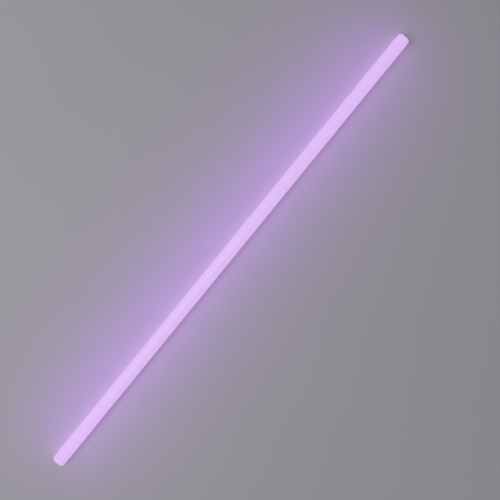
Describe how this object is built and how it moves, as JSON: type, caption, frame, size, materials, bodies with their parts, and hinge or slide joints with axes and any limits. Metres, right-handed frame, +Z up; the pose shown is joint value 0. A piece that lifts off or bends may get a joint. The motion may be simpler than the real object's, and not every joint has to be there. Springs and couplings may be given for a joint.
{
  "type": "led tube",
  "caption": "Straight opal tube lamp that glows violet-white all round, with a two-pin base at each end.",
  "frame": {"origin": "on the tube's axis, halfway between the faces of the two end caps", "axes": "+X along the tube from the live end to the dead end, +Z up, in the plane of the pins"},
  "size_m": [1.2122, 0.028, 0.028],
  "materials": {
    "opal_tube": "satin",
    "opal_cap": "satin",
    "pin_brass": "satin",
    "screw_steel": "satin",
    "spine_aluminium": "satin",
    "thermal_tape": "matte",
    "led_board": "matte",
    "led_package": "satin",
    "circuit_board": "satin",
    "insulating_film": "gloss",
    "resistor_coat": "satin",
    "varistor_coat": "satin",
    "film_capacitor_case": "satin",
    "ferrite": "matte",
    "copper_winding": "satin",
    "winding_tape": "satin",
    "black_moulding": "matte",
    "capacitor_can": "gloss",
    "lead_brown": "matte",
    "lead_blue": "matte",
    "lead_red": "matte",
    "lead_black": "matte",
    "lead_white": "matte"
  },
  "bodies": {
    "root": {"diffuser_tube": "opal_tube", "end_cap_a": "opal_cap", "end_cap_b": "opal_cap", "pin_a_upper": "pin_brass", "pin_a_lower": "pin_brass", "pin_b_upper": "pin_brass", "pin_b_lower": "pin_brass", "pin_bridge": "pin_brass", "cap_screws": "screw_steel", "spine": "spine_aluminium", "thermal_tape_top": "thermal_tape", "thermal_tape_bottom": "thermal_tape", "led_board_top": "led_board", "led_board_bottom": "led_board", "leds_top": "led_package", "leds_bottom": "led_package", "driver_board": "circuit_board", "driver_sleeve": "insulating_film", "fuse_resistor": "resistor_coat", "varistor": "varistor_coat", "film_capacitor": "film_capacitor_case", "choke_core": "ferrite", "choke_coil_left": "copper_winding", "choke_coil_right": "copper_winding", "bridge_rectifier": "black_moulding", "bulk_capacitor": "capacitor_can", "output_capacitor": "capacitor_can", "controller_chip": "black_moulding", "transformer_core_front": "ferrite", "transformer_core_rear": "ferrite", "transformer_bobbin": "black_moulding", "transformer_winding": "winding_tape", "output_diode": "black_moulding", "input_lead_upper": "lead_brown", "input_lead_lower": "lead_blue", "output_lead_top": "lead_red", "output_lead_bottom": "lead_black", "board_link": "lead_white"}
  },
  "joints": []
}
